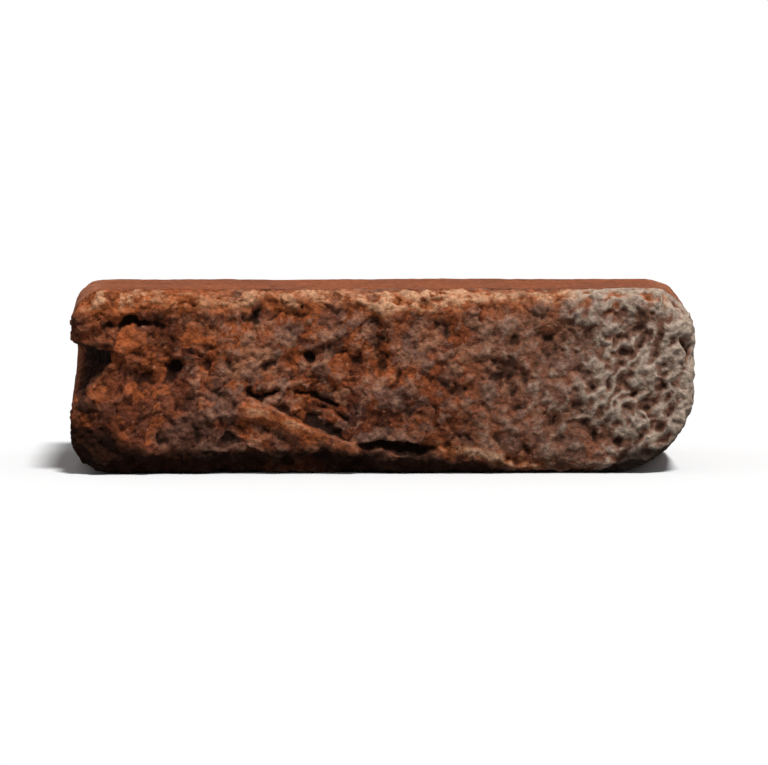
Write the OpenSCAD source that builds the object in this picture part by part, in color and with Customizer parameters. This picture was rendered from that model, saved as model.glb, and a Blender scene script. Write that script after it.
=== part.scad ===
// A solid hand-moulded clay brick with one weathered stretcher face.
// The brick lies on its lower bed. X runs along its length, the weathered
// face looks along -Y, and the origin is the middle of the lower bed.

/* [Brick] */
// Length, from end to end
brick_length = 220; // [190:1:260]
// Width, from the weathered face to the back
brick_width = 105; // [90:1:125]
// Height, from bed to bed
brick_height = 65; // [55:1:80]

/* [Arrises] */
// Rounding of the arrises around the weathered face
worn_radius = 8; // [5:0.5:12]
// Rounding of the four arrises that run back along the ends
end_radius = 6; // [2:0.5:9]
// Rounding of the arrises around the back, as the mould left them
mould_radius = 3; // [1:0.5:5]

/* [Worn corners of the weathered face] */
// Rounding of the upper left corner
upper_left_radius = 15; // [8:1:24]
// Rounding of the lower left corner
lower_left_radius = 16; // [8:1:24]
// Rounding of the upper right corner
upper_right_radius = 19; // [8:1:30]
// Rounding of the lower right corner
lower_right_radius = 34; // [8:1:40]
// How far back from the face the corners are worn
corner_reach = 90; // [40:1:120]

/* [Notch in the left end] */
// How far the notch bites into the length
notch_depth = 19; // [8:1:30]
// Height of its upper lip above the lower bed
notch_top = 47; // [44:1:50]
// Height of its deepest point above the lower bed
notch_apex = 42; // [32:1:43]
// Height of its lower lip above the lower bed
notch_bottom = 22; // [12:1:30]
// How far it runs back along the end
notch_reach = 60; // [20:1:85]
// Distance between the chips along its lips
lip_chip_spacing = 11; // [8:1:20]
// Deepest bite of a chip out of its lips
lip_chip_bite = 3; // [1:0.5:4]

/* [Spalled lower arris] */
// Distance from the left end to the middle of the first flake
spall_start = 25; // [5:1:50]
// Distance between the flakes along the arris
spall_step = 13; // [10:1:16]
// How many flakes have come away
spall_flakes = 10; // [1:1:12]
// How many of the last flakes get shallower towards the right
spall_fade = 4; // [0:1:6]
// Radius of the hollow that each flake left
spall_radius = 24; // [16:1:32]
// How deep the deepest flake bit below the worn arris
spall_bite = 6.5; // [2:0.5:10]
// Length of the slot where one more flake has lifted
slot_length = 34; // [10:1:50]
// Width of the slot's mouth
slot_width = 5; // [2:0.5:8]
// Depth of the slot
slot_depth = 11; // [4:0.5:16]
// Slope of the slot, downwards to the right
slot_slope = 3; // [-10:1:10]
// Distance of the slot's middle from the left end
slot_from_left = 115; // [80:1:130]
// Height of the slot's middle above the lower bed
slot_height = 9; // [7:0.5:14]

/* [Broken corners] */
// Radius of the breaks at the right-hand corners of the weathered face
right_break_radius = 44; // [24:1:60]
// How deep they bit below the worn corner
right_break_bite = 7; // [1:0.5:10]
// Radius of the breaks at the left-hand corners of the weathered face
left_break_radius = 32; // [18:1:48]
// How deep they bit below the worn corner
left_break_bite = 4; // [1:0.5:8]

/* [Small chips] */
// Distance between chips along the arrises
chip_spacing = 26; // [18:1:50]
// Radius of the hollow that a chip left
chip_radius = 14; // [8:0.5:18]
// Deepest bite of a chip below its arris
chip_bite = 2.5; // [1.5:0.1:4]

/* [Weathered face] */
// Distance between the crumbled lumps
lump_spacing = 12; // [9:1:20]
// Radius of the curve of a lump's top
lump_radius = 17; // [10:1:30]
// Range of depths of the lumps' tops
lump_depth = 1.9; // [1:0.1:3]
// Share of the lumps that are still as high as the unworn face
unworn_share = 0.15; // [0.05:0.05:0.5]
// Distance between the points that shape the lumps
relief_step = 4.5; // [4:0.5:8]
// Length of the fold where the clay closed on itself
fold_length = 44; // [20:1:70]
// Width of the fold's mouth
fold_width = 8; // [4:0.5:12]
// Depth of the fold
fold_depth = 5; // [1:0.5:6]
// Slope of the fold, downwards to the right
fold_slope = 25; // [0:1:45]
// Distance of the fold's middle from the left end
fold_from_left = 86; // [50:1:110]
// Height of the fold's middle above the lower bed
fold_height = 19; // [14:1:34]
// Width of the lip below the fold, which the weather has spared
lip_width = 12; // [6:0.5:18]
// Radius of the curve of the hollow above the fold
scoop_radius = 36; // [20:1:60]
// Depth of the hollow above the fold, behind the unworn face
scoop_depth = 3.4; // [2:0.1:5]
// Distance from the fold up to the middle of the hollow above it
scoop_offset = 6; // [4:0.5:14]
// Half the width of the mouth of the largest pit that burnt-out grit left
pit_radius = 4; // [2:0.5:6]
// Depth of the largest pit behind the unworn face
pit_depth = 6.5; // [3:0.5:8]

/* [Hidden] */

half_length = brick_length / 2;
half_width = brick_width / 2;
smooth_facets = 64;
flake_facets = 10;
// Clearance by which a cutting shape starts outside the brick
outside = 10;
// How far past the brick the edges of the notch run, as a share of their length
overshoot = 1.25;
// Share of its spacing by which a flake or a point of the relief may stray from its even place
stray = 0.3;
// Least share of the deepest bite that a chip or flake takes
least_bite = 0.4;
// Gap between a sharp edge and its rounding, for each unit of radius
edge_gap = sqrt(2) - 1;
// Gap between a sharp corner and its rounding, for each unit of radius
corner_gap = sqrt(3) - 1;
// Angle between a cube's diagonal and the vertical
corner_lean = acos(1 / sqrt(3));
// Turn of the facets of a broken corner
break_turn = [15, 20];
// Pits as [distance from the left end, height above the lower bed, share of the largest pit's size]
pits = [[37, 38, 1], [84, 41.5, 0.75]];
// Height of a pit's mouth as a share of its width
pit_squat = 0.7;
// Slope of a pit's mouth, upwards to the right
pit_slope = 25;
// How far the relief of the face runs past its edges
relief_margin = 1;
// Seed of the first lump, and how many seeds each column of lumps has
lump_seed = 400;
column_seeds = 50;
// Share of the weathering that the crest of the lip below the fold was spared
spared_share = 0.8;

// A rectangle in front of the X axis, with its near and its far corners rounded
module rounded(across, deep, near, far) {
    translate([-across / 2, near]) square([across, deep - near - far]);
    translate([near - across / 2, 0]) square([across - 2 * near, deep / 2]);
    translate([far - across / 2, deep / 2]) square([across - 2 * far, deep / 2]);
    for (side = [-1, 1]) {
        translate([side * (across / 2 - near), near]) circle(r = near, $fn = smooth_facets);
        translate([side * (across / 2 - far), deep - far]) circle(r = far, $fn = smooth_facets);
    }
}

// The block from the mould, where its plan, its section and its front view meet
module block()
    intersection() {
        translate([0, -half_width, 0])
            linear_extrude(height = brick_height)
                rounded(brick_length, brick_width, worn_radius, mould_radius);
        translate([half_length, -half_width, brick_height / 2])
            rotate([0, -90, 0])
                linear_extrude(height = brick_length)
                    rounded(brick_height, brick_width, worn_radius, mould_radius);
        translate([0, half_width, 0])
            rotate([90, 0, 0])
                linear_extrude(height = brick_width)
                    rounded(brick_length, brick_height, end_radius, end_radius);
    }

// What the weather takes off a corner that stands at the origin with the brick at -X, +Y and -Z.
// It leans out of the corner, so that it has left it at the end of its reach
module corner_wear(radius) {
    length = corner_reach + 2 * outside;
    rotate(a = atan2(radius * edge_gap, corner_reach), v = [1, 0, -1])
        difference() {
            translate([-radius, -outside, -radius])
                cube([radius + outside, length, radius + outside]);
            translate([-radius, -2 * outside, -radius])
                rotate([-90, 0, 0])
                    cylinder(r = radius, h = length + 2 * outside, $fn = smooth_facets);
        }
}

// The wear of the four corners of the weathered face
module worn_corners()
    for (side = [-1, 1], up = [0, 1])
        translate([side * half_length, -half_width, up * brick_height])
            mirror([side > 0 ? 0 : 1, 0, 0])
                mirror([0, 0, 1 - up])
                    corner_wear(
                        side < 0 ? (up == 0 ? lower_left_radius : upper_left_radius)
                                 : (up == 0 ? lower_right_radius : upper_right_radius)
                    );

// The faceted hollow that a flake of fired clay leaves behind
module flake(radius, turn)
    rotate(turn) sphere(r = radius, $fn = flake_facets);

// Places its children on an arris, which then runs along X with the brick at +Y and -Z
module on_front_upper() translate([0, -half_width, brick_height]) children();
module on_front_lower() translate([0, -half_width, 0]) mirror([0, 0, 1]) children();
module on_front_right()
    translate([half_length, -half_width, brick_height / 2]) rotate([0, 90, 0]) children();
module on_right_upper() translate([half_length, 0, brick_height]) rotate([0, 0, 90]) children();
module on_right_lower()
    translate([half_length, 0, 0]) mirror([0, 0, 1]) rotate([0, 0, 90]) children();

// Flakes at even steps from the left end of an arris, each of its own bite and turn,
// where the last few get shallower
module flake_row(count, step, first, radius, bite, rounding, seed, fade = 0) {
    places = rands(-stray, stray, count, seed);
    bites = rands(least_bite * bite, bite, count, seed + 1);
    turns = rands(0, 90, 3 * count, seed + 2);
    for (i = [0 : count - 1]) {
        depth = bites[i] * min(1, (count - i) / (fade + 1)) + rounding * edge_gap;
        translate([first + (i + places[i]) * step, 0, 0])
            rotate([45, 0, 0])
                translate([0, 0, radius - depth])
                    flake(radius, [turns[3 * i], turns[3 * i + 1], turns[3 * i + 2]]);
    }
}

// Chips scattered along an arris whose middle is at the origin
module chip_row(length, rounding, seed) {
    count = max(1, floor(length / chip_spacing));
    step = length / count;
    flake_row(count, step, (step - length) / 2, chip_radius, chip_bite, rounding, seed);
}

// The chips of every arris apart from the notched one
module chips() {
    front_length = brick_length - 2 * worn_radius;
    front_height = brick_height - 2 * worn_radius;
    end_depth = brick_width - 2 * worn_radius;
    on_front_upper() chip_row(front_length, worn_radius, seed = 11);
    on_front_lower() chip_row(front_length, worn_radius, seed = 24);
    on_front_right() chip_row(front_height, worn_radius, seed = 37);
    mirror([0, 1, 0]) {
        on_front_upper() chip_row(front_length, mould_radius, seed = 41);
        on_front_lower() chip_row(front_length, mould_radius, seed = 58);
        on_front_right() chip_row(front_height, mould_radius, seed = 63);
        mirror([1, 0, 0]) on_front_right() chip_row(front_height, mould_radius, seed = 72);
    }
    on_right_upper() chip_row(end_depth, end_radius, seed = 85);
    on_right_lower() chip_row(end_depth, end_radius, seed = 96);
    mirror([1, 0, 0]) {
        on_right_upper() chip_row(end_depth, end_radius, seed = 103);
        on_right_lower() chip_row(end_depth, end_radius, seed = 117);
    }
}

// The V-shaped bite out of the left end, which dies away towards the back
module notch() {
    front_y = -half_width - outside;
    // The bite keeps growing in front of the face, as far as the clearance
    grow = 1 + outside / notch_reach;
    apex = [notch_depth * grow - half_length, front_y, notch_apex];
    upper = [-half_length, front_y, notch_apex + (notch_top - notch_apex) * grow];
    lower = [-half_length, front_y, notch_apex - (notch_apex - notch_bottom) * grow];
    back = [-half_length, notch_reach - half_width, notch_apex];
    past_end = [for (tip = [upper, lower, back]) apex + overshoot * (tip - apex)];
    polyhedron(
        points = concat([apex], past_end),
        faces = [[1, 0, 2], [0, 1, 3], [2, 0, 3], [1, 2, 3]]
    );
}

// Chips out of one lip of the notch, which runs from the origin towards -X
module lip_chips(length, seed) {
    count = max(1, floor(length / lip_chip_spacing));
    step = length / count;
    mirror([1, 0, 0])
        flake_row(count, step, step / 2, chip_radius, lip_chip_bite, 0, seed);
}

// The chips out of both lips of the notch where it opens in the weathered face
module notch_chips() {
    drop = notch_apex - notch_bottom;
    rise = notch_top - notch_apex;
    translate([notch_depth - half_length, -half_width, notch_apex]) {
        rotate([0, -atan2(drop, notch_depth), 0])
            lip_chips(norm([drop, notch_depth]), seed = 131);
        rotate([0, atan2(rise, notch_depth), 0])
            mirror([0, 0, 1])
                lip_chips(norm([rise, notch_depth]), seed = 149);
    }
}

// The run of flakes that has come off the lower arris of the weathered face
module spall()
    on_front_lower()
        flake_row(spall_flakes, spall_step, spall_start - half_length, spall_radius, spall_bite,
                  worn_radius, seed = 7, fade = spall_fade);

// A cleft in a face that looks along -Y, which narrows towards its ends and its root
module cleft(length, width, depth) {
    // The walls keep opening in front of the face, as far as the clearance
    grow = 1 + outside / depth;
    end_x = grow * length / 2;
    lip_z = grow * width / 2;
    polyhedron(
        points = [[0, depth, 0], [-end_x, -outside, 0], [0, -outside, lip_z],
                  [end_x, -outside, 0], [0, -outside, -lip_z]],
        faces = [[1, 2, 3, 4], [2, 1, 0], [3, 2, 0], [4, 3, 0], [1, 4, 0]]
    );
}

// The slot behind the flake that has lifted
module slot()
    translate([slot_from_left - half_length, -half_width, slot_height])
        rotate([0, slot_slope, 0])
            cleft(slot_length, slot_width, slot_depth);

// The breaks that take off the four corners of the weathered face
module corner_breaks()
    for (side = [-1, 1], up = [0, 1]) {
        radius = side > 0 ? right_break_radius : left_break_radius;
        bite = side > 0 ? right_break_bite : left_break_bite;
        translate([side * half_length, -half_width, up * brick_height])
            mirror([side > 0 ? 0 : 1, 0, 0])
                mirror([0, 0, 1 - up])
                    rotate([0, 0, -45])
                        rotate([0, corner_lean, 0])
                            translate([0, 0, radius - bite - worn_radius * corner_gap])
                                flake(radius, [side * break_turn[0], up * break_turn[1], 0]);
    }

// The top of a lump as [distance from the left end, height above the lower bed, depth of its top],
// off its even place in the net of lumps
function lump(column, row) =
    let (chance = rands(0, 1, 3, lump_seed + column_seeds * column + row))
        [(column + chance[0]) * lump_spacing, (row + chance[1]) * lump_spacing,
         (chance[2] - unworn_share) * lump_depth];

// Depth of the weathering at a place on the face, where the nearest of its round lumps stand out
function weathered(along, up) =
    let (column = floor(along / lump_spacing), row = floor(up / lump_spacing))
        min([
            for (i = [-1 : 1], j = [-1 : 1])
                let (top = lump(column + i, row + j))
                    top[2] + (pow(along - top[0], 2) + pow(up - top[1], 2)) / (2 * lump_radius)
        ]);

// Share of the weathering that has reached a place on the face, which is less on the lip below the fold
function reached(along, up) =
    let (
        right = along - fold_from_left,
        above = up - fold_height,
        beside = right * cos(fold_slope) - above * sin(fold_slope),
        below = -right * sin(fold_slope) - above * cos(fold_slope),
        from_crest = below - fold_width / 2
    )
        abs(beside) > fold_length / 2 ? 1 : 1 - spared_share * exp(-pow(2 * from_crest / lip_width, 2));

// What the weather has taken off the face, from in front of it down to its crumbled lumps
module weathering() {
    columns = ceil((brick_length + 2 * relief_margin) / relief_step);
    rows = ceil((brick_height + 2 * relief_margin) / relief_step);
    step_along = (brick_length + 2 * relief_margin) / columns;
    step_up = (brick_height + 2 * relief_margin) / rows;
    shake = rands(-stray, stray, 2 * (columns + 1) * (rows + 1), 5);
    relief = [
        for (i = [0 : columns], j = [0 : rows])
            let (
                k = i * (rows + 1) + j,
                inner = i > 0 && i < columns && j > 0 && j < rows ? 1 : 0,
                along = (i + inner * shake[2 * k]) * step_along - relief_margin,
                up = (j + inner * shake[2 * k + 1]) * step_up - relief_margin
            )
                [along - half_length, weathered(along, up) * reached(along, up) - half_width, up]
    ];
    corner = len(relief);
    front = [
        for (i = [0, columns], j = [0, rows])
            let (point = relief[i * (rows + 1) + j]) [point[0], -half_width - outside, point[2]]
    ];
    triangles = [
        for (i = [0 : columns - 1], j = [0 : rows - 1])
            let (a = i * (rows + 1) + j, b = a + rows + 1)
                each (i + j) % 2 == 0
                    ? [[a, b, a + 1], [a + 1, b, b + 1]]
                    : [[a, b, b + 1], [a, b + 1, a + 1]]
    ];
    walls = [
        [corner, corner + 1, corner + 3, corner + 2],
        concat([for (j = [0 : rows]) j], [corner + 1, corner]),
        concat([for (j = [rows : -1 : 0]) columns * (rows + 1) + j], [corner + 2, corner + 3]),
        concat([for (i = [columns : -1 : 0]) i * (rows + 1)], [corner, corner + 2]),
        concat([for (i = [0 : columns]) i * (rows + 1) + rows], [corner + 3, corner + 1])
    ];
    polyhedron(points = concat(relief, front), faces = concat(triangles, walls));
}

// The fold across the face, a cleft that closes at its ends, and the hollow above it
module fold()
    translate([fold_from_left - half_length, -half_width, fold_height])
        rotate([0, fold_slope, 0]) {
            cleft(fold_length, fold_width, fold_depth);
            translate([0, scoop_depth - scoop_radius, scoop_offset])
                sphere(r = scoop_radius, $fn = smooth_facets);
        }

// The pits in the face
module pit_holes()
    for (pit = pits)
        translate([pit[0] - half_length, -half_width, pit[1]])
            rotate([0, -pit_slope, 0])
                cleft(2 * pit_radius * pit[2], 2 * pit_radius * pit_squat * pit[2], pit_depth * pit[2]);

module brick()
    color("sienna")
        difference() {
            block();
            weathering();
            worn_corners();
            notch();
            notch_chips();
            spall();
            slot();
            corner_breaks();
            chips();
            fold();
            pit_holes();
        }

brick();
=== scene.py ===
"""A weathered clay brick, dressed over its solid and shown in a plain pale studio."""
import math

import bmesh
import bpy
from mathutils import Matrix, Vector, noise
from mathutils.bvhtree import BVHTree


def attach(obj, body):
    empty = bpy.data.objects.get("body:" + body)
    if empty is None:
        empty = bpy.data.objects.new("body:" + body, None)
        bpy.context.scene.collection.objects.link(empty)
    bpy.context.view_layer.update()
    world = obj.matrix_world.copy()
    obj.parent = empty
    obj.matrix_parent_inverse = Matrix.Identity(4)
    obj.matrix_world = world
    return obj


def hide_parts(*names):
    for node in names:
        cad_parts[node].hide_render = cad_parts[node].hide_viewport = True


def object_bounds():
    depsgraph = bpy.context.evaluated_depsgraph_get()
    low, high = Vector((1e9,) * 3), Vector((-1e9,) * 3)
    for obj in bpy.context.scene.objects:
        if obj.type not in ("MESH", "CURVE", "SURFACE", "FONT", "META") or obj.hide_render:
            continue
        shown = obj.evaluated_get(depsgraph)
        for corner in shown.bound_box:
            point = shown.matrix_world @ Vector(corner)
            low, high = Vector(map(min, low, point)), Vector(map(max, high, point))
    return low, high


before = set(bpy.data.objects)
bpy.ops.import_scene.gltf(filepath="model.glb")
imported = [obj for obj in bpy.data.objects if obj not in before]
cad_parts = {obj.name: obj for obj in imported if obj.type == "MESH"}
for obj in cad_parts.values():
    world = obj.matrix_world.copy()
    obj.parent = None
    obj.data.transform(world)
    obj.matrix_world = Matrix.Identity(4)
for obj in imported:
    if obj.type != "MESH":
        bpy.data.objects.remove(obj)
CAD_LOW, CAD_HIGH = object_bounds()

# Noise vectors follow a seed, set here so that every run gives the same brick
SEED = 23
noise.seed_set(SEED)

MM = 0.001
NODE = "brick"

# Mesh of the dressed brick, in metres: an even voxel size, cut finer near the weathered face and in breaks
WELD_DISTANCE = 0.001 * MM
VOXEL = 2.2 * MM
FINE_DEPTH = 9 * MM
FINE_CUTS = 3
SMOOTHING_PASSES = 3

# Passes of smoothing that show the surface around a point, to tell what stands out of it
AROUND_PASSES = 100

# The solid's box and roundings, in millimetres like all sizes up to the materials
LOW = CAD_LOW / MM
HIGH = CAD_HIGH / MM
WORN_RADIUS = 8.0
MOULD_RADIUS = 3.0

# Depth under the unbroken block from which a place counts as a break, where it is one, and where painted
# shade darkens it fully
BREAK_BEGINS = 4.0
BREAK_FULL = 6.5
BREAK_SHADE_FULL = 11.0

# How dark the painted shade in deep breaks and in the notch is, and how weathered breaks are
BREAK_PAINTED_SHADE = 0.7
NOTCH_PAINTED_SHADE = 0.25
BREAK_AGE = 0.9

# The notch in the left end: how far along X and how high it lies
NOTCH_RIGHT = -86.0
NOTCH_LOW = 20.0
NOTCH_HIGH = 52.0

# Depth behind the weathered face where the notch begins to count as a break, where it does, fades and ends
NOTCH_BEGINS = 4.0
NOTCH_FULL = 9.0
NOTCH_FADES = 30.0
NOTCH_ENDS = 55.0

# Depth under the unbroken block where a side of the notch begins to count as a break, and where it does
NOTCH_SIDE_BEGINS = 1.5
NOTCH_SIDE_FULL = 4.0

# Depth behind the weathered face where the weather begins to fade, and where it ends
WEATHER_FADES = 5.0
WEATHER_ENDS = 19.0

# Depth behind the weathered face where the fold and the cracks begin to fade, and where they end
FACE_FADES = 5.0
FACE_ENDS = 10.0

# How far the fine relief of the weathered face and of the plain faces lies under the solid's own surface
WEATHER_LOSS = 0.7
PLAIN_LOSS = 0.3

# Where along X the coarse flakes of the left give way to the fine grains of the right
FLAKES_FADE = -45.0
FLAKES_END = 25.0

# Where along X the redder clay of the left end fades, and where it ends
WARM_FADES = -80.0
WARM_ENDS = -52.0

# The raised lip of the fold as X and Z along its crest, its height and widths, and how much smoother it is
LIP = (Vector((-53.0, 24.0)), Vector((-41.0, 22.5)), Vector((-29.0, 16.8)), Vector((-8.0, 7.5)))
LIP_HEIGHT = 2.4
LIP_START_WIDTH = 5.6
LIP_END_WIDTH = 2.0
LIP_STEEP_SIDE = 1.6
LIP_SMOOTHNESS = 0.65

# Where along X the bright colour of the lip begins to dull, and where it is dull
LIP_DULLS = -34.0
LIP_DULL = -10.0

# How orange and how bright with wear the lip is, both partly a painted highlight on its crest, and how much
# of both it loses where it is dull
LIP_ORANGE = 0.55
LIP_ORANGE_LOST = 0.45
LIP_WEAR_AND_HIGHLIGHT = 0.66
LIP_WEAR_AND_HIGHLIGHT_LOST = 0.5

# The stretch of the lower arris made bright by wear and painted highlight, as X and Z, and its width
RUBBED_AND_HIGHLIGHTED = (Vector((17.0, 10.0)), Vector((32.0, 7.5)), Vector((42.0, 5.5)), Vector((54.0, 2.0)))
RUBBED_AND_HIGHLIGHTED_WIDTH = 2.5

# Cracks in the face: points in X and Z, then width and depth
CRACKS = (
    ((Vector((-50.0, 29.0)), Vector((-44.0, 27.6)), Vector((-35.0, 30.0))), 2.2, 2.4),
    ((Vector((-52.0, 54.0)), Vector((-46.0, 55.5)), Vector((-40.0, 58.5))), 3.0, 1.5),
    ((Vector((-33.0, 30.0)), Vector((-23.0, 27.5)), Vector((-13.0, 21.0))), 1.6, 1.6),
    ((Vector((-25.0, 24.0)), Vector((-18.0, 22.6)), Vector((-11.0, 17.0))), 1.4, 1.2),
    ((Vector((-46.0, 26.6)), Vector((-39.5, 25.0)), Vector((-27.5, 19.0)), Vector((-7.0, 9.8))), 1.2, 0.9),
    ((Vector((-14.0, 10.6)), Vector((4.0, 9.4)), Vector((22.0, 8.4))), 2.8, 2.2),
    ((Vector((-94.0, 53.0)), Vector((-88.0, 54.0)), Vector((-80.0, 52.6))), 2.2, 2.0),
)

# Holes in the face, darkened as painted shade: X and Z, radius and depth
HOLES = (
    (Vector((-73.0, 38.0)), 4.2, 2.0),
    (Vector((-26.0, 41.5)), 2.8, 1.6),
)

# Depth at which painted shade begins to darken a crack or a hole, and at which it darkens it fully
CRACK_SHADE_BEGINS = 0.5
CRACK_SHADE_FULL = 2.0

# Bloom of lime: where its first dust lies along X and where it covers most of the face
LIME_BEGINS = 8.0
LIME_COVERS = 112.0

# Depth behind the weathered face where the lime begins to thin out, and where it ends
LIME_THINS = 4.0
LIME_ENDS = 28.0

# Share of the surface under lime at which its ridges begin to show, and at which they are all that shows
RIDGES_BEGIN = 0.3
RIDGES_COVER = 0.7

# How high lumps and grains stand under lime, and the share of the pits and of the painted shade with
# dampness that lime hides
LIMED_LUMPS = 0.45
LIMED_GRAINS = 0.3
LIME_HIDES = 0.8

# Share of the lime that lies on plain clay as a film, and how much more evenly it covers there
LIME_FILM = 0.75
LIME_FILM_EVEN = 0.3

# Upper edge of the grime and painted shade along the foot of the face, as X and Z
FOOT_LINE = (Vector((-110.0, 18.0)), Vector((-94.0, 14.0)), Vector((-78.0, 9.5)), Vector((-40.0, 9.0)),
             Vector((-12.0, 8.5)), Vector((16.0, 7.5)), Vector((34.0, 4.5)), Vector((54.0, -1.0)),
             Vector((76.0, -1.0)), Vector((84.0, 8.0)), Vector((110.0, 13.0)))

# Height over that edge up to which the grime and painted shade are full, and where they end
FOOT_FULL = -2.5
FOOT_ENDS = 2.0

# A greyer patch low on the face, as X and Z, and its half sizes
GREY_PATCH = Vector((-66.0, 13.0))
GREY_PATCH_REACH = Vector((18.0, 8.0))

# Patches of paler lumps: X and Z, half sizes, and how much paler they are
PALE_PATCHES = (
    (Vector((-47.0, 39.0)), Vector((13.0, 8.0)), 0.85),
    (Vector((34.0, 46.0)), Vector((40.0, 12.0)), 0.45),
)

# Share of its half sizes at which a patch begins to fade, and at which it ends
PATCH_FADES = 0.4
PATCH_ENDS = 1.1

# Wear and painted highlight of the upper arris, as X and amount
ARRIS_WEAR_AND_HIGHLIGHT = (Vector((-110.0, 0.9)), Vector((-95.0, 0.85)), Vector((-75.0, 0.54)), Vector((-45.0, 0.68)),
              Vector((-15.0, 0.76)), Vector((15.0, 0.97)), Vector((60.0, 1.0)))

# Distance from the upper arris at which its wear and painted highlight begin to fade, and at which they end
ARRIS_FADES = 3.0
ARRIS_ENDS = 12.0

# Painted shade with dampness that darkens the lower face: up to where it is full, where it ends, and the
# darker stretches along X
SHADE_AND_DAMP_FULL = 12.0
SHADE_AND_DAMP_ENDS = 44.0
SHADE_AND_DAMP_LEFT = -106.0
SHADE_AND_DAMP_LEFT_ENDS = -84.0
SHADE_AND_DAMP_RIGHT = 10.0
SHADE_AND_DAMP_RIGHT_BEGINS = -30.0

# How much that painted shade with dampness darkens, and how much more on the left and on the right
SHADE_AND_DAMP_AMOUNT = 0.06
SHADE_AND_DAMP_AMOUNT_LEFT = 0.42
SHADE_AND_DAMP_AMOUNT_RIGHT = 0.16

# Every pattern of noise: the size of its features, and how far it moves an edge, stands up or digs in
PATTERNS = {
    "weather": (18.0, 6.0),
    "flakes": (9.0, 0.6),
    "chips": (5.8, 0.55),
    "lumps": (5.4, 0.75),
    "grains": (2.7, 0.42),
    "wrinkles": (3.2, 0.4),
    "streaks": (5.0, 0.6),
    "crests": (3.6, 0.35),
    "pits": (13.0, 1.1),
    "pinholes": (6.0, 0.9),
    "cracks": (5.0, 1.3),
    "waves": (26.0, 0.3),
    "sand": (3.6, 0.16),
    "voids": (9.0, 0.8),
    "facets": (6.0, 1.0),
    "crumbs": (3.2, 0.6),
    "warp": (4.0, 1.6),
    "lime": (30.0, 22.0),
    "lime edge": (17.0, 12.0),
    "grey": (9.0, 0.5),
    "pale": (9.0, 0.5),
    "foot": (8.0, 2.5),
    "arris": (14.0, 4.0),
    "warm": (20.0, 14.0),
    "low_shade_and_damp": (18.0, 7.0),
}
SIZES = {pattern: size for pattern, (size, _) in PATTERNS.items()}
REACHES = {pattern: reach for pattern, (_, reach) in PATTERNS.items()}

# Each pattern has a part of the noise of its own, by its place among the patterns
SHIFT_STEP = 17.0
SHIFT_DIRECTION = Vector((1.0, 1.7, 2.3))
SHIFTS = {pattern: SHIFT_STEP * (place + 1) for place, pattern in enumerate(PATTERNS)}

# Noise in layers: how fast the finer layers weaken, and how many times finer each is than the last
LAYERS_WEAKEN = 0.9
LAYER_STEP = 2.1

# Patterns of pits: the share of their cells that have one, and its radius
PITS = {"pits": (0.07, 1.8), "pinholes": (0.06, 1.1), "voids": (0.12, 1.4)}

# Factors by which each lump, flake or pit draws a number of its own from the noise, for what they name
HEIGHT_DRAW = 17.3
LEAN_DRAW = 5.1
TONE_DRAW = 31.7
HUE_DRAW = 53.9
PIT_DRAW = 13.7

# What every point of the mesh notes for the material, beside its relief
NOTES = ("exposure", "tone", "hue", "lime", "worn", "broken", "dark", "low_shade_and_damp", "grey", "warm")


def smoothstep(low, high, value):
    """0 at low, 1 at high and a smooth rise between them."""
    share = min(max((value - low) / (high - low), 0.0), 1.0)
    return share * share * (3.0 - 2.0 * share)


def shifted(point, pattern):
    """A point in units of the pattern's size, moved to the pattern's part of the noise."""
    return (point + SHIFTS[pattern] * SHIFT_DIRECTION) / SIZES[pattern]


def wander(point, pattern, layers=2):
    """Noise in layers that goes about as far to both sides as the pattern reaches."""
    return REACHES[pattern] * noise.fractal(shifted(point, pattern), LAYERS_WEAKEN, LAYER_STEP, layers)


def on_face(point):
    """The X and Z of a point."""
    return Vector((point.x, point.z))


def beside_path(point, path):
    """Where a point of the face lies beside a path: share of its length, and distance to its left."""
    place = on_face(point)
    steps = list(zip(path, path[1:]))
    whole = sum((end - start).length for start, end in steps)
    walked = 0.0
    nearest = None
    for start, end in steps:
        run = end - start
        share = min(max((place - start).dot(run) / run.length_squared, 0.0), 1.0)
        offset = place - start - share * run
        if nearest is None or offset.length < abs(nearest[1]):
            side = math.copysign(1.0, run.x * offset.y - run.y * offset.x)
            nearest = ((walked + share * run.length) / whole, side * offset.length)
        walked += run.length
    return nearest


def height_of(path, along):
    """Height of a path at a place along X."""
    for start, end in zip(path, path[1:]):
        if along <= end.x:
            share = max((along - start.x) / (end.x - start.x), 0.0)
            return start.y + share * (end.y - start.y)
    return path[-1].y


def depth_in_block(point):
    """How far a point lies under the surface of the unbroken block."""
    radius = WORN_RADIUS if point.y < (LOW.y + HIGH.y) / 2 else MOULD_RADIUS
    centre = (LOW + HIGH) / 2
    half = (HIGH - LOW) / 2
    past = [abs(point[i] - centre[i]) - half[i] + radius for i in range(3)]
    outside = math.hypot(*[max(value, 0.0) for value in past])
    return radius - outside - min(max(past), 0.0)


def in_notch(point, depth):
    """1 on the sides of the notch, fading towards the back."""
    if point.x > NOTCH_RIGHT or not NOTCH_LOW < point.z < NOTCH_HIGH:
        return 0.0
    behind = point.y - LOW.y
    begun = smoothstep(NOTCH_BEGINS, NOTCH_FULL, behind)
    remains = 1.0 - smoothstep(NOTCH_FADES, NOTCH_ENDS, behind)
    return begun * remains * smoothstep(NOTCH_SIDE_BEGINS, NOTCH_SIDE_FULL, depth)


# The mesh

def smooth(editable, passes):
    """Moves every point of a mesh halfway towards its neighbours, a few times."""
    for _ in range(passes):
        bmesh.ops.smooth_vert(editable, verts=editable.verts, factor=0.5, use_axis_x=True, use_axis_y=True,
                              use_axis_z=True)


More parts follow.
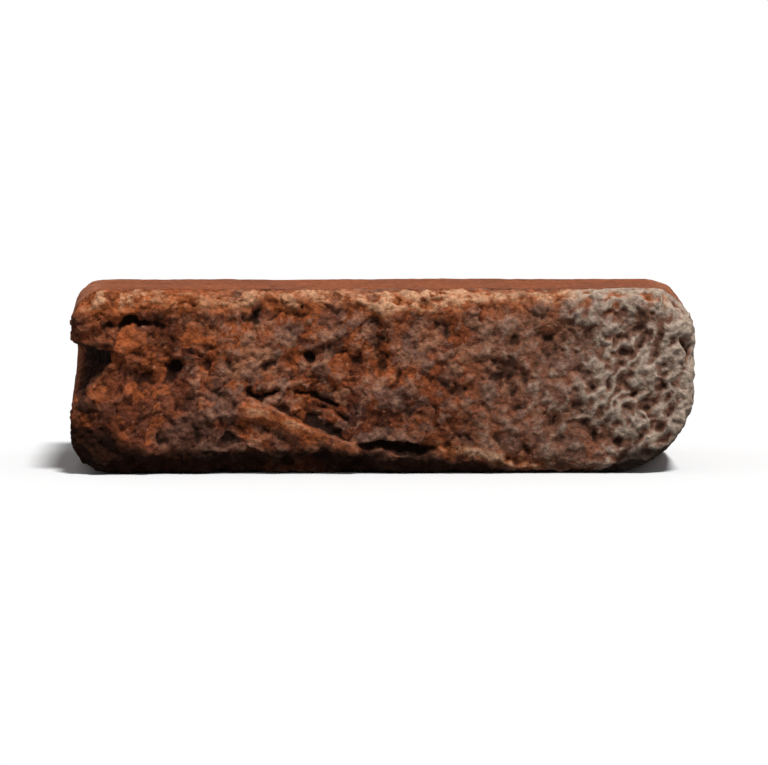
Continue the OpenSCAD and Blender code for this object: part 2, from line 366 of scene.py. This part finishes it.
def remeshed(source):
    """An even mesh of a solid, as coarse as a voxel."""
    work = bpy.data.objects.new("work", source.data.copy())
    bpy.context.collection.objects.link(work)
    weld = work.modifiers.new("weld", "WELD")
    weld.merge_threshold = WELD_DISTANCE
    remesh = work.modifiers.new("remesh", "REMESH")
    remesh.mode = "VOXEL"
    remesh.voxel_size = VOXEL
    evaluated = work.evaluated_get(bpy.context.evaluated_depsgraph_get())
    mesh = bpy.data.meshes.new_from_object(evaluated)
    bpy.data.objects.remove(work)
    return mesh


def wants_detail(face):
    """Whether a face of the coarse mesh lies near the weathered face or in a break."""
    centre = face.calc_center_median()
    if centre.y < CAD_LOW.y + FINE_DEPTH:
        return True
    depth = depth_in_block(centre / MM)
    return depth > BREAK_BEGINS or in_notch(centre / MM, depth) > 0.0


def fine_brick_mesh(source):
    """A fine mesh laid on a solid, finest where it is weathered or broken."""
    mesh = remeshed(source)
    editable = bmesh.new()
    editable.from_mesh(mesh)
    edges = list({edge for face in editable.faces if wants_detail(face) for edge in face.edges})
    bmesh.ops.subdivide_edges(editable, edges=edges, cuts=FINE_CUTS, use_grid_fill=True)
    uneven = [face for face in editable.faces if len(face.verts) > 4]
    bmesh.ops.triangulate(editable, faces=uneven)
    solid = BVHTree.FromPolygons([vertex.co for vertex in source.data.vertices],
                                 [polygon.vertices for polygon in source.data.polygons])
    for vertex in editable.verts:
        vertex.co = solid.find_nearest(vertex.co)[0]
    smooth(editable, SMOOTHING_PASSES)
    editable.to_mesh(mesh)
    editable.free()
    return mesh


def stands_out(mesh):
    """How far each point of a mesh stands out of the surface around it."""
    around = bmesh.new()
    around.from_mesh(mesh)
    smooth(around, AROUND_PASSES)
    around.verts.ensure_lookup_table()
    heights = [(vertex.co - around.verts[vertex.index].co).dot(vertex.normal) / MM
               for vertex in mesh.vertices]
    around.free()
    return heights


# The relief of the surface

def cells(point, pattern):
    """Ragged cells of the pattern's size: the place in them, and the nearest distances and centres."""
    place = shifted(point, pattern)
    place += 0.35 * noise.noise_vector(1.4 * place) + 0.14 * noise.noise_vector(3.7 * place)
    distances, centres = noise.voronoi(place)
    return place, distances, centres


def lumps(point, pattern):
    """The highest of the rounded lumps around a point: its height there, about -1 to 1, and its middle."""
    _, distances, centres = cells(point, pattern)
    tops = [0.5 * noise.cell(HEIGHT_DRAW * centre) - 1.5 * distance ** 1.6
            for distance, centre in zip(distances, centres)]
    height = max(tops)
    return height + 0.6, centres[tops.index(height)]


def facets(point, pattern):
    """Broken flakes, each at a height and a lean of its own, about -1 to 1."""
    place, distances, centres = cells(point, pattern)
    level = noise.cell(HEIGHT_DRAW * centres[0])
    lean = noise.noise_vector(LEAN_DRAW * centres[0])
    edge = smoothstep(0.0, 0.16, distances[1] - distances[0])
    return (0.55 * level + 1.1 * lean.dot(place - centres[0])) * edge - 0.35 * (1.0 - edge)


def ridges(point, pattern):
    """Sharp winding ridges: 1 on their crests and down to -1 between them."""
    return max(1.0 - 3.6 * abs(noise.noise(shifted(point, pattern))), -1.0)


def pits(point, pattern):
    """Depth of the pattern's ragged pits, which lie in a share of its cells."""
    _, distances, centres = cells(point, pattern)
    share, radius = PITS[pattern]
    chance = 0.5 + 0.5 * noise.cell(PIT_DRAW * centres[0])
    if chance > share:
        return 0.0
    reach = radius / SIZES[pattern] * (0.5 + chance / share)
    return REACHES[pattern] * (1.0 - smoothstep(0.3 * reach, reach, distances[0]))


def raked(point):
    """A point moved so that round shapes come out long and leaning, as wind-driven rain leaves them."""
    lean = math.radians(52)
    stretch = 2.1
    along = point.x * math.cos(lean) + point.z * math.sin(lean)
    across = point.z * math.cos(lean) - point.x * math.sin(lean)
    return Vector((along / stretch, point.y, across))


def crust(point, lime):
    """The fine relief of weathered clay, with the tone and the hue of its lumps, from -1 to 1."""
    coarse = 1.0 - smoothstep(FLAKES_FADE, FLAKES_END, point.x)
    middle, lump = lumps(point, "lumps")
    grains, grain = lumps(point, "grains")
    height = REACHES["lumps"] * middle + REACHES["grains"] * grains + wander(point, "wrinkles", layers=3)
    height += REACHES["chips"] * facets(point, "chips")
    if coarse > 0.0:
        height += REACHES["flakes"] * coarse * facets(point, "flakes")
    if lime > 0.0:
        bent = point + REACHES["warp"] * noise.noise_vector(shifted(point, "warp"))
        crests = REACHES["streaks"] * ridges(raked(bent), "streaks")
        crests += REACHES["crests"] * ridges(bent, "crests")
        crests += LIMED_LUMPS * middle + LIMED_GRAINS * grains
        height += lime * (crests - height)
    holes = pits(point, "pits") + pits(point, "pinholes")
    tone = 0.5 * noise.cell(TONE_DRAW * lump) + 0.45 * noise.cell(TONE_DRAW * grain)
    return height - (1.0 - LIME_HIDES * lime) * holes, tone, noise.cell(HUE_DRAW * lump)


def fold_lip(point):
    """Share of the height of the fold's lip: gentle on its lower side and steep on its upper one."""
    share, left = beside_path(point, LIP)
    width = LIP_START_WIDTH + (LIP_END_WIDTH - LIP_START_WIDTH) * share
    ends = smoothstep(-0.02, 0.15, share) * (1.0 - smoothstep(0.92, 1.0, share))
    return ends * math.exp(-(left / (LIP_STEEP_SIDE if left > 0.0 else width)) ** 2)


def cracks(point):
    """Depth of the cracks and holes in the face, with ragged edges, which also sets how far painted shade
    darkens them.
    """
    stray = wander(point, "cracks", layers=3)
    depth = 0.0
    for path, width, deepest in CRACKS:
        share, left = beside_path(point, path)
        ends = smoothstep(0.0, 0.25, share) * (1.0 - smoothstep(0.75, 1.0, share))
        depth = max(depth, deepest * ends * (1.0 - smoothstep(0.0, width, abs(left + stray))))
    for place, radius, deepest in HOLES:
        distance = (on_face(point) - place).length + stray
        depth = max(depth, deepest * (1.0 - smoothstep(0.3 * radius, radius, distance)))
    return depth


def plain_relief(point):
    """Height of the skin that the mould left: faint waves, sand and a few small holes."""
    sand, _ = lumps(point, "sand")
    return wander(point, "waves", layers=3) + REACHES["sand"] * sand - pits(point, "voids") - PLAIN_LOSS


# What lies on the surface, and the light and shade painted on it

def lime_cover(point, behind):
    """Share of the surface that lime covers around a point."""
    along = point.x + wander(point, "lime", layers=3)
    back = behind + wander(point, "lime edge", layers=3)
    return smoothstep(LIME_BEGINS, LIME_COVERS, along) * (1.0 - smoothstep(LIME_THINS, LIME_ENDS, back))


def patch(point, middle, reach, pattern):
    """Share of a patch of the face around a point, its edge ragged by a share of its half sizes."""
    offset = on_face(point) - middle
    away = math.hypot(offset.x / reach.x, offset.y / reach.y)
    return 1.0 - smoothstep(PATCH_FADES, PATCH_ENDS, away + wander(point, pattern))


def paleness(point):
    """How much paler the lumps around a point are."""
    return sum(amount * patch(point, middle, reach, "pale") for middle, reach, amount in PALE_PATCHES)


def warm_end(point):
    """Share of the redder clay of the left end."""
    return 1.0 - smoothstep(WARM_FADES, WARM_ENDS, point.x + wander(point, "warm"))


def foot_grime_and_shade(point):
    """Share of the grime and painted shade along the foot of the face."""
    over = point.z - height_of(FOOT_LINE, point.x) + wander(point, "foot", layers=3)
    return 1.0 - smoothstep(FOOT_FULL, FOOT_ENDS, over)


def low_shade_and_damp(point):
    """How far painted shade with dampness darkens the face: near the foot, and most at the left end."""
    rise = 1.0 - smoothstep(SHADE_AND_DAMP_FULL, SHADE_AND_DAMP_ENDS, point.z + wander(point, "low_shade_and_damp"))
    left = 1.0 - smoothstep(SHADE_AND_DAMP_LEFT, SHADE_AND_DAMP_LEFT_ENDS, point.x)
    right = smoothstep(SHADE_AND_DAMP_RIGHT_BEGINS, SHADE_AND_DAMP_RIGHT, point.x)
    return rise * (SHADE_AND_DAMP_AMOUNT + SHADE_AND_DAMP_AMOUNT_LEFT * left + SHADE_AND_DAMP_AMOUNT_RIGHT * right)


def rubbed_and_highlighted_edges(point, behind, lip):
    """How bright wear and a painted highlight make the clay: on the upper arris, the lip and part of the
    lower arris.
    """
    off_arris = math.hypot(behind, HIGH.z - point.z) + wander(point, "arris")
    _, left = beside_path(point, RUBBED_AND_HIGHLIGHTED)
    return max(height_of(ARRIS_WEAR_AND_HIGHLIGHT, point.x) * (1.0 - smoothstep(ARRIS_FADES, ARRIS_ENDS, off_arris)),
               lip * (LIP_WEAR_AND_HIGHLIGHT - LIP_WEAR_AND_HIGHLIGHT_LOST * smoothstep(LIP_DULLS, LIP_DULL, point.x)),
               math.exp(-(left / RUBBED_AND_HIGHLIGHTED_WIDTH) ** 2))


def surface_at(point):
    """Height of the relief at a point of the solid, and what the material needs to know there."""
    behind = point.y - LOW.y
    depth = depth_in_block(point)
    notch = in_notch(point, depth)
    broken = max(smoothstep(BREAK_BEGINS, BREAK_FULL, depth), notch)
    # Painted shade: deep breaks and the notch are noted dark
    dark = max(BREAK_PAINTED_SHADE * smoothstep(BREAK_FULL, BREAK_SHADE_FULL, depth), NOTCH_PAINTED_SHADE * notch)
    aged = BREAK_AGE * broken * (1.0 - smoothstep(NOTCH_FADES, NOTCH_ENDS, behind))
    weather = 1.0 - smoothstep(WEATHER_FADES, WEATHER_ENDS, behind + wander(point, "weather"))
    exposure = max(weather, aged)
    lime = lime_cover(point, behind)
    notes = {"exposure": exposure, "broken": broken, "lime": lime}
    height = plain_relief(point)
    if broken > 0.0:
        crumbs, _ = lumps(point, "crumbs")
        height += broken * (REACHES["facets"] * facets(point, "facets") + REACHES["crumbs"] * crumbs)
    if exposure > 0.0:
        face = 1.0 - smoothstep(FACE_FADES, FACE_ENDS, behind)
        lip = face * fold_lip(point)
        crack = face * cracks(point)
        fine, tone, hue = crust(point, smoothstep(RIDGES_BEGIN, RIDGES_COVER, exposure * lime))
        rough = 1.0 - LIP_SMOOTHNESS * lip
        # The lip brighter orange, partly a painted highlight on its crest
        orange = lip * (LIP_ORANGE - LIP_ORANGE_LOST * smoothstep(LIP_DULLS, LIP_DULL, point.x))
        height += exposure * (rough * fine + LIP_HEIGHT * lip - crack - WEATHER_LOSS - height)
        # Painted shade in cracks and holes, and painted shade with grime along the foot
        dark = max(dark, smoothstep(CRACK_SHADE_BEGINS, CRACK_SHADE_FULL, crack), exposure * foot_grime_and_shade(point))
        notes["tone"] = rough * tone + paleness(point)
        notes["hue"] = exposure * (rough * hue + orange)
        # Wear with painted highlight on the upper arris, the lip and part of the lower arris
        notes["worn"] = rubbed_and_highlighted_edges(point, behind, lip)
        notes["grey"] = exposure * patch(point, GREY_PATCH, GREY_PATCH_REACH, "grey")
        notes["warm"] = max(warm_end(point), lip)
        # Painted shade with dampness, most near the foot and at the left end
        notes["low_shade_and_damp"] = exposure * low_shade_and_damp(point) * (1.0 - LIME_HIDES * lime)
    notes["dark"] = dark
    return height, notes


def dress(mesh):
    """Moves each point by its relief and notes what the material needs to know of it."""
    values = {name: [0.0] * len(mesh.vertices) for name in NOTES}
    normals = [vertex.normal.copy() for vertex in mesh.vertices]
    for i, vertex in enumerate(mesh.vertices):
        point = vertex.co / MM
        height, notes = surface_at(point)
        for name, value in notes.items():
            values[name][i] = value
        moved = point + normals[i] * height
        vertex.co = Vector([min(max(moved[k], LOW[k]), HIGH[k]) for k in range(3)]) * MM
    mesh.update()
    mesh.shade_smooth()
    values["relief"] = stands_out(mesh)
    for name, numbers in values.items():
        attribute = mesh.attributes.new(name, "FLOAT", "POINT")
        attribute.data.foreach_set("value", numbers)


# Materials

def srgb(red, green, blue):
    """A colour given as it looks on a screen, from 0 to 255."""
    channels = [value / 255.0 for value in (red, green, blue)]
    linear = [c / 12.92 if c <= 0.04045 else ((c + 0.055) / 1.055) ** 2.4 for c in channels]
    return (*linear, 1.0)


CLAY_RED = srgb(98, 51, 34)
CLAY_ORANGE = srgb(128, 66, 37)
CLAY_DARK = srgb(56, 30, 21)
CLAY_GREY = srgb(102, 75, 64)
CLAY_PALE = srgb(150, 104, 79)
CLAY_BRIGHT = srgb(152, 80, 43)
CLAY_PLAIN = srgb(138, 82, 57)
# Pale and dusty: painted highlight on what stands out of the weathered face
DUST_AND_HIGHLIGHT = srgb(150, 113, 94)
# Orange of edges made bright by wear and painted highlight
WORN_AND_HIGHLIGHT_ORANGE = srgb(152, 82, 43)
# Pale pink: painted highlight on the raised parts of edges bright with wear
PALE_HIGHLIGHT_ON_WEAR = srgb(178, 136, 105)
LIME = srgb(156, 138, 123)
LIME_DUST = srgb(108, 78, 64)
# Near black: dark specks and grime, and the colour of painted shade in hollows, breaks, cracks and low on
# the face
GRIME_AND_SHADE = srgb(22, 12, 8)
# Dark brown of the breaks: the clay of the fracture, darkened as painted shade
FRACTURE_AND_SHADE = srgb(46, 26, 18)

# Sizes of the clay's mottling in metres, from broad patches down to sand
PATCH_SIZE = 30 * MM
STAIN_SIZE = 16 * MM
MOTTLE_SIZE = 7 * MM
CREASE_SIZE = 5 * MM
FLECK_SIZE = 2.6 * MM
TINT_SIZE = 1.6 * MM
SAND_SIZE = 1.2 * MM

# Pale grains, small voids and dark specks: spacing and radius in metres, and the share of places with one
PALE_GRAINS = ((3.5 * MM, 0.6 * MM, 0.3), (2.3 * MM, 0.4 * MM, 0.3))
VOIDS = ((11 * MM, 1.5 * MM, 0.35), (6 * MM, 0.8 * MM, 0.3))
SPECKS = (5.3 * MM, 0.6 * MM, 0.12)

# The bump's unit in metres, and in that unit how high sand and creases stand and how deep voids are
BUMP_UNIT = 1.0 * MM
SAND_HEIGHT = 0.65
CREASE_HEIGHT = 1.6
VOID_DEPTH = 0.8

# How little fired clay shines
SPECULAR_LEVEL = 0.04


class Shading:
    """Adds nodes to a material's tree."""

    def __init__(self, material):
        self.tree = material.node_tree
        self.coordinates = self.tree.nodes.new("ShaderNodeTexCoord").outputs["Object"]

    def link(self, source, target):
        """Feeds one socket from another."""
        self.tree.links.new(source, target)

    def attribute(self, name):
        """What the points of the mesh note under a name."""
        node = self.tree.nodes.new("ShaderNodeAttribute")
        node.attribute_name = name
        return node.outputs["Fac"]

    def noise(self, size, detail, roughness=0.55):
        """Noise whose features are about size metres across."""
        node = self.tree.nodes.new("ShaderNodeTexNoise")
        node.inputs["Scale"].default_value = 1.0 / size
        node.inputs["Detail"].default_value = detail
        node.inputs["Roughness"].default_value = roughness
        self.link(self.coordinates, node.inputs["Vector"])
        return node.outputs["Fac"]

    def strayed(self, reach):
        """The coordinates, moved about by noise as far as reach, in metres."""
        node = self.tree.nodes.new("ShaderNodeTexNoise")
        node.inputs["Scale"].default_value = 0.5 / reach
        self.link(self.coordinates, node.inputs["Vector"])
        moved = self.tree.nodes.new("ShaderNodeVectorMath")
        moved.operation = "MULTIPLY_ADD"
        moved.inputs[1].default_value = (2.0 * reach, 2.0 * reach, 2.0 * reach)
        self.link(node.outputs["Color"], moved.inputs[0])
        self.link(self.coordinates, moved.inputs[2])
        return moved.outputs["Vector"]

    def grains(self, spacing, radius, share):
        """1 inside ragged grains of many sizes in a share of the cells of the given spacing, in metres."""
        node = self.tree.nodes.new("ShaderNodeTexVoronoi")
        node.inputs["Scale"].default_value = 1.0 / spacing
        self.link(self.strayed(radius), node.inputs["Vector"])
        chosen = self.math("LESS_THAN", node.outputs["Color"], share)
        smaller = self.ramp(node.outputs["Color"], 0.5 * share, share, 0.8, 1.6)
        distance = self.product(node.outputs["Distance"], smaller)
        return self.product(chosen, self.ramp(distance, radius / spacing, 0.6 * radius / spacing))

    def ramp(self, value, low, high, start=0.0, end=1.0):
        """A value mapped from low..high to start..end, smoothly."""
        node = self.tree.nodes.new("ShaderNodeMapRange")
        node.interpolation_type = "SMOOTHSTEP"
        for name, number in (("From Min", low), ("From Max", high), ("To Min", start), ("To Max", end)):
            node.inputs[name].default_value = number
        self.link(value, node.inputs["Value"])
        return node.outputs["Result"]

    def math(self, operation, first, second):
        """Two sockets, or a socket and a number, put together by an operation."""
        node = self.tree.nodes.new("ShaderNodeMath")
        node.operation = operation
        for socket, value in zip(node.inputs, (first, second)):
            if isinstance(value, float):
                socket.default_value = value
            else:
                self.link(value, socket)
        return node.outputs["Value"]

    def product(self, first, *others):
        """All values multiplied."""
        for other in others:
            first = self.math("MULTIPLY", first, other)
        return first

    def total(self, first, *others):
        """All values added."""
        for other in others:
            first = self.math("ADD", first, other)
        return first

    def mix(self, amount, under, over, blend="MIX"):
        """The colour over laid on the colour under by amount."""
        node = self.tree.nodes.new("ShaderNodeMix")
        node.data_type = "RGBA"
        node.blend_type = blend
        sockets = [socket for socket in node.inputs if socket.enabled]
        for socket, value in zip(sockets, (amount, under, over)):
            if isinstance(value, (float, tuple)):
                socket.default_value = value
            else:
                self.link(value, socket)
        return next(socket for socket in node.outputs if socket.enabled)


def clay_body(shading, mottle, exposure, relief, worn):
    """Colour of the clean clay: red to orange, with lumps of many colours where it is weathered, and a
    painted highlight on what stands out there.
    """
    tone = shading.attribute("tone")
    hue = shading.attribute("hue")
    warm = shading.attribute("warm")
    cool = shading.ramp(warm, 0.0, 1.0, 1.0, 0.2)
    patches = shading.total(shading.noise(PATCH_SIZE, 3.0), shading.product(warm, 0.08))
    colour = shading.mix(shading.ramp(patches, 0.38, 0.62), CLAY_RED, CLAY_ORANGE)
    colour = shading.mix(shading.ramp(exposure, 1.0, 0.0, 0.0, 0.55), colour, CLAY_PLAIN)
    burnt = shading.product(shading.ramp(mottle, 0.5, 0.68), shading.ramp(exposure, 0.0, 1.0, 0.2, 0.8))
    colour = shading.mix(burnt, colour, CLAY_DARK)
    stains = shading.ramp(shading.noise(STAIN_SIZE, 4.0, 0.6), 0.5, 0.66, 0.0, 0.7)
    colour = shading.mix(shading.product(stains, exposure, cool), colour, CLAY_GREY)
    bright_lumps = shading.product(shading.ramp(hue, 0.25, 0.8), shading.ramp(warm, 0.0, 1.0, 0.4, 0.7))
    colour = shading.mix(bright_lumps, colour, CLAY_BRIGHT)
    grey_lumps = shading.product(shading.ramp(hue, -0.3, -0.8, 0.0, 0.7), cool)
    colour = shading.mix(grey_lumps, colour, CLAY_GREY)
    colour = shading.mix(shading.product(shading.attribute("grey"), 0.7), colour, CLAY_GREY)
    dark_lumps = shading.product(shading.ramp(tone, -0.05, -0.6, 0.0, 0.8), exposure)
    colour = shading.mix(dark_lumps, colour, CLAY_DARK)
    pale_lumps = shading.product(shading.ramp(tone, 0.2, 0.75, 0.0, 0.6), exposure, cool)
    colour = shading.mix(pale_lumps, colour, CLAY_PALE)
    # Painted highlight with a dusty tint on what stands out
    tops = shading.product(shading.ramp(relief, 0.1, 0.8, 0.0, 0.55), exposure, cool)
    return shading.mix(shading.product(tops, shading.ramp(worn, 0.8, 0.0)), colour, DUST_AND_HIGHLIGHT)


def clay_wear_and_painted_light(shading, colour, mottle, plain, relief, worn, voids):
    """The clay with its edges bright with wear and painted highlight, its pale grains, and painted shade in
    its small voids and its breaks.
    """
    # Wear with painted highlight: orange on the upper arris, the lip and part of the lower arris
    rubbed_and_highlighted = shading.product(worn, shading.ramp(mottle, 0.66, 0.45, 0.2, 0.9))
    colour = shading.mix(rubbed_and_highlighted, colour, WORN_AND_HIGHLIGHT_ORANGE)
    # Painted highlight: the raised parts of those edges paler still
    highlight_on_rubbing = shading.product(shading.ramp(rubbed_and_highlighted, 0.35, 0.75), shading.ramp(relief, -0.5, 0.5, 0.0, 0.9))
    colour = shading.mix(highlight_on_rubbing, colour, PALE_HIGHLIGHT_ON_WEAR)
    plain_edge = shading.product(shading.ramp(relief, 0.9, 2.4, 0.0, 0.5), shading.ramp(mottle, 0.62, 0.45))
    colour = shading.mix(shading.product(plain_edge, plain), colour, CLAY_PALE)
    for grains in PALE_GRAINS:
        colour = shading.mix(shading.product(shading.grains(*grains), 0.7), colour, CLAY_PALE)
    # Painted shade in the small voids of the plain faces
    colour = shading.mix(shading.product(voids, plain), colour, CLAY_DARK)
    # Painted shade over the clay of the breaks
    broken = shading.product(shading.attribute("broken"), shading.ramp(mottle, 0.3, 0.55, 0.5, 0.95))
    return shading.mix(broken, colour, FRACTURE_AND_SHADE)


def clay_dirt_and_painted_shade(shading, colour, exposure, plain, relief, worn, flecks):
    """The clay with lime on what stands out, and painted shade with grime in what lies deep and low on the
    face.
    """
    lime = shading.product(shading.attribute("lime"), shading.ramp(exposure, 0.0, 1.0, LIME_FILM, 1.0))
    dust = shading.product(shading.ramp(lime, 0.0, 0.7, 0.0, 0.8), shading.ramp(worn, 0.0, 0.8, 1.0, 0.3))
    colour = shading.mix(dust, colour, LIME_DUST)
    raised = shading.ramp(relief, -0.7, 0.7, -0.45, 0.45)
    uneven = shading.ramp(flecks, 0.3, 0.7, -0.2, 0.2)
    even = shading.total(shading.product(lime, 0.6), shading.product(plain, LIME_FILM_EVEN))
    cover = shading.ramp(shading.total(raised, uneven, even), 0.15, 0.95, 0.0, 0.95)
    colour = shading.mix(shading.product(cover, shading.ramp(lime, 0.2, 0.75)), colour, LIME)
    # Painted shade with grime in the hollows, most on the weathered face
    hollow = shading.ramp(relief, -0.15, -0.9, 0.0, 0.9)
    colour = shading.mix(shading.product(hollow, shading.ramp(exposure, 0.0, 1.0, 0.3, 1.0)), colour, GRIME_AND_SHADE)
    # Painted shade with dampness on the lower face
    colour = shading.mix(shading.attribute("low_shade_and_damp"), colour, GRIME_AND_SHADE)
    # Painted shade in deep breaks, the notch, cracks and holes, and painted shade with grime along the foot
    colour = shading.mix(shading.product(shading.attribute("dark"), 0.92), colour, GRIME_AND_SHADE)
    return shading.mix(shading.grains(*SPECKS), colour, GRIME_AND_SHADE)


def clay_material():
    """Fired clay: mottled red-brown, orange on edges with wear and painted highlight, dark in hollows with
    painted shade and grime, and pale with lime.
    """
    material = bpy.data.materials.new("fired_clay")
    material.use_nodes = True
    shading = Shading(material)
    principled = material.node_tree.nodes["Principled BSDF"]
    mottle = shading.noise(MOTTLE_SIZE, 5.0, 0.65)
    flecks = shading.noise(FLECK_SIZE, 3.0, 0.6)
    relief = shading.attribute("relief")
    ragged = shading.total(shading.attribute("exposure"), shading.ramp(flecks, 0.3, 0.7, -0.35, 0.35))
    exposure = shading.ramp(ragged, 0.25, 0.65)
    plain = shading.ramp(exposure, 1.0, 0.0)
    worn = shading.attribute("worn")
    voids = shading.total(*[shading.grains(*grains) for grains in VOIDS])

    colour = clay_body(shading, mottle, exposure, relief, worn)
    colour = clay_wear_and_painted_light(shading, colour, mottle, plain, relief, worn, voids)
    colour = clay_dirt_and_painted_shade(shading, colour, exposure, plain, relief, worn, flecks)
    tint = shading.ramp(shading.noise(TINT_SIZE, 3.0, 0.6), 0.3, 0.7, 0.65, 1.3)
    grey = shading.tree.nodes.new("ShaderNodeCombineColor")
    for channel in grey.inputs:
        shading.link(tint, channel)
    colour = shading.mix(1.0, colour, grey.outputs["Color"], "MULTIPLY")
    shading.link(colour, principled.inputs["Base Color"])

    shading.link(shading.ramp(mottle, 0.3, 0.7, 0.86, 0.98), principled.inputs["Roughness"])
    principled.inputs["Specular IOR Level"].default_value = SPECULAR_LEVEL
    bump = shading.tree.nodes.new("ShaderNodeBump")
    bump.inputs["Strength"].default_value = 1.0
    bump.inputs["Distance"].default_value = BUMP_UNIT
    sand = shading.product(shading.noise(SAND_SIZE, 4.0, 0.65), SAND_HEIGHT)
    creases = shading.product(shading.noise(CREASE_SIZE, 4.0, 0.6), plain, CREASE_HEIGHT)
    sunk = shading.product(voids, plain, -VOID_DEPTH)
    shading.link(shading.total(sand, creases, sunk), bump.inputs["Height"])
    shading.link(bump.outputs["Normal"], principled.inputs["Normal"])
    return material


# Studio

# Brightness of the floor as the camera sees it and as it lights the brick, and how far it reaches in metres
FLOOR_SEEN = 0.66
FLOOR_BOUNCED = 0.22
FLOOR_REACH = 6.0

# Strength, width and direction of the soft key lamp, and strength of the fill and of the white backdrop
KEY_STRENGTH = 4.3
KEY_WIDTH = math.radians(12)
TOWARD_KEY = Vector((0.2, -0.45, 0.87))
FILL_STRENGTH = 0.36
BACKDROP_STRENGTH = 1.0

# The camera's distance in metres, its direction, and the share of the picture's width that the brick fills
CAMERA_DISTANCE = 1.2
CAMERA_AZIMUTH = math.radians(-2.0)
CAMERA_ELEVATION = math.radians(4.0)
SHARE_OF_WIDTH = 0.82
SENSOR_WIDTH = 36.0


def grey(value):
    """An even grey."""
    return (value, value, value, 1.0)


def seen_directly(tree):
    """1 for what the camera sees, also in a reflection or through glass."""
    rays = tree.nodes.new("ShaderNodeLightPath")
    seen = rays.outputs["Is Camera Ray"]
    for kind in ("Is Glossy Ray", "Is Transmission Ray"):
        either = tree.nodes.new("ShaderNodeMath")
        either.operation = "MAXIMUM"
        tree.links.new(seen, either.inputs[0])
        tree.links.new(rays.outputs[kind], either.inputs[1])
        seen = either.outputs["Value"]
    return seen


def finish_tree(tree, output_kind, lights, seen):
    """Ends a tree of nodes with one shader that lights the brick and one that the camera sees."""
    output = tree.nodes.new(output_kind)
    mix = tree.nodes.new("ShaderNodeMixShader")
    tree.links.new(seen_directly(tree), mix.inputs["Fac"])
    tree.links.new(lights, mix.inputs[1])
    tree.links.new(seen, mix.inputs[2])
    tree.links.new(mix.outputs["Shader"], output.inputs["Surface"])


def floor_material():
    """A pale floor that lights the object less than it shows to the camera."""
    material = bpy.data.materials.new("floor")
    material.use_nodes = True
    tree = material.node_tree
    tree.nodes.clear()
    seen = tree.nodes.new("ShaderNodeBsdfDiffuse")
    seen.inputs["Color"].default_value = grey(FLOOR_SEEN)
    bounced = tree.nodes.new("ShaderNodeBsdfDiffuse")
    bounced.inputs["Color"].default_value = grey(FLOOR_BOUNCED)
    finish_tree(tree, "ShaderNodeOutputMaterial", bounced.outputs["BSDF"], seen.outputs["BSDF"])
    return material


def floor_and_key():
    """A pale floor, and a soft key lamp from above in front."""
    mesh = bpy.data.meshes.new("floor")
    corners = [(-FLOOR_REACH, -FLOOR_REACH, 0.0), (FLOOR_REACH, -FLOOR_REACH, 0.0),
               (FLOOR_REACH, FLOOR_REACH, 0.0), (-FLOOR_REACH, FLOOR_REACH, 0.0)]
    mesh.from_pydata(corners, [], [(0, 1, 2, 3)])
    mesh.materials.append(floor_material())
    floor = bpy.data.objects.new("floor", mesh)
    floor.location.z = CAD_LOW.z
    bpy.context.collection.objects.link(floor)

    lamp = bpy.data.lights.new("key", "SUN")
    lamp.energy = KEY_STRENGTH
    lamp.angle = KEY_WIDTH
    key = bpy.data.objects.new("key", lamp)
    key.rotation_mode = "QUATERNION"
    key.rotation_quaternion = TOWARD_KEY.to_track_quat("Z", "Y")
    bpy.context.collection.objects.link(key)


def fill_and_backdrop():
    """An even fill light, and a backdrop that is white to the camera."""
    world = bpy.data.worlds.new("studio")
    world.use_nodes = True
    bpy.context.scene.world = world
    tree = world.node_tree
    tree.nodes.clear()
    fill = tree.nodes.new("ShaderNodeBackground")
    fill.inputs["Strength"].default_value = FILL_STRENGTH
    white = tree.nodes.new("ShaderNodeBackground")
    white.inputs["Strength"].default_value = BACKDROP_STRENGTH
    for background in (fill, white):
        background.inputs["Color"].default_value = grey(1.0)
    finish_tree(tree, "ShaderNodeOutputWorld", fill.outputs["Background"], white.outputs["Background"])


def camera():
    """A long lens, almost face on to the weathered stretcher face."""
    centre = (CAD_LOW + CAD_HIGH) / 2
    face_centre = Vector((centre.x, CAD_LOW.y, centre.z))
    back = Vector((math.sin(CAMERA_AZIMUTH) * math.cos(CAMERA_ELEVATION),
                   -math.cos(CAMERA_AZIMUTH) * math.cos(CAMERA_ELEVATION),
                   math.sin(CAMERA_ELEVATION)))
    data = bpy.data.cameras.new("camera")
    data.sensor_width = SENSOR_WIDTH
    data.lens = SENSOR_WIDTH * CAMERA_DISTANCE * SHARE_OF_WIDTH / (CAD_HIGH.x - CAD_LOW.x)
    made = bpy.data.objects.new("camera", data)
    made.location = face_centre + back * CAMERA_DISTANCE
    made.rotation_mode = "QUATERNION"
    made.rotation_quaternion = back.to_track_quat("Z", "Y")
    bpy.context.collection.objects.link(made)
    bpy.context.scene.camera = made


def weathered_brick():
    """The dressed brick, in place of its plain solid."""
    mesh = fine_brick_mesh(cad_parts[NODE])
    dress(mesh)
    mesh.materials.clear()
    mesh.materials.append(clay_material())
    brick = bpy.data.objects.new("weathered_brick", mesh)
    bpy.context.collection.objects.link(brick)
    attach(brick, "root")
    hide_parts(NODE)


weathered_brick()
floor_and_key()
fill_and_backdrop()
camera()
bpy.context.scene.view_settings.view_transform = "Standard"
